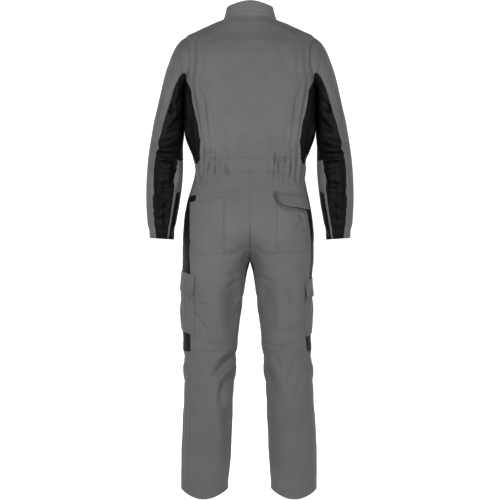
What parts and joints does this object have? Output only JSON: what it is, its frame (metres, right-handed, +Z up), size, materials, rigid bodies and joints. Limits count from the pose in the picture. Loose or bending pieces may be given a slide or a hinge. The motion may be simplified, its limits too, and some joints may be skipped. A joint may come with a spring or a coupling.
{
  "type": "boiler suit",
  "caption": "Long-sleeved two-colour boiler suit, hollow and filled out as worn, with a gathered back waist, patch and cargo pockets and a zipped front.",
  "frame": {"origin": "middle of the wearer's neck at the height of the neck points, where the shoulder seams meet the collar", "axes": "+Z up, +X to the wearer's right, +Y the way the wearer faces"},
  "size_m": [0.6658, 0.2985, 1.5758],
  "materials": {
    "grey_cloth": "matt grey polyester-cotton twill",
    "black_cloth": "matt black polyester-cotton twill",
    "zip_chain": "dark nylon coil on a woven tape",
    "zip_metal": "plain nickel"
  },
  "bodies": {
    "suit": {"back": "grey_cloth", "collar": "grey_cloth", "waist_casing": "grey_cloth", "pocket_flap_right": "grey_cloth", "front_left": "grey_cloth", "waistband_left": "grey_cloth", "leg_back_upper_left": "grey_cloth", "leg_back_lower_left": "grey_cloth", "leg_side_lower_left": "grey_cloth", "leg_front_left": "grey_cloth", "yoke_left": "grey_cloth", "pocket_back_left": "grey_cloth", "cargo_pocket_left": "grey_cloth", "cargo_flap_left": "grey_cloth", "sleeve_top_left": "grey_cloth", "forearm_strip_left": "grey_cloth", "front_right": "grey_cloth", "waistband_right": "grey_cloth", "leg_back_upper_right": "grey_cloth", "leg_back_lower_right": "grey_cloth", "leg_side_lower_right": "grey_cloth", "leg_front_right": "grey_cloth", "yoke_right": "grey_cloth", "pocket_back_right": "grey_cloth", "cargo_pocket_right": "grey_cloth", "cargo_flap_right": "grey_cloth", "sleeve_top_right": "grey_cloth", "forearm_strip_right": "grey_cloth", "side_left": "black_cloth", "leg_side_upper_left": "black_cloth", "sleeve_under_left": "black_cloth", "forearm_back_left": "black_cloth", "forearm_wedge_left": "black_cloth", "side_right": "black_cloth", "leg_side_upper_right": "black_cloth", "sleeve_under_right": "black_cloth", "forearm_back_right": "black_cloth", "forearm_wedge_right": "black_cloth", "zip_chain": "zip_chain", "zip_slider": "zip_metal"},
    "pull_tab": {"zip_pull": "zip_metal"}
  },
  "joints": [
    {"name": "pull_tab_hinge", "type": "hinge", "parent": "suit", "child": "pull_tab", "pos_m": [0, 0.11088, -0.05535], "axis": [1, 0, 0], "range_deg": [0, 150]}
  ]
}
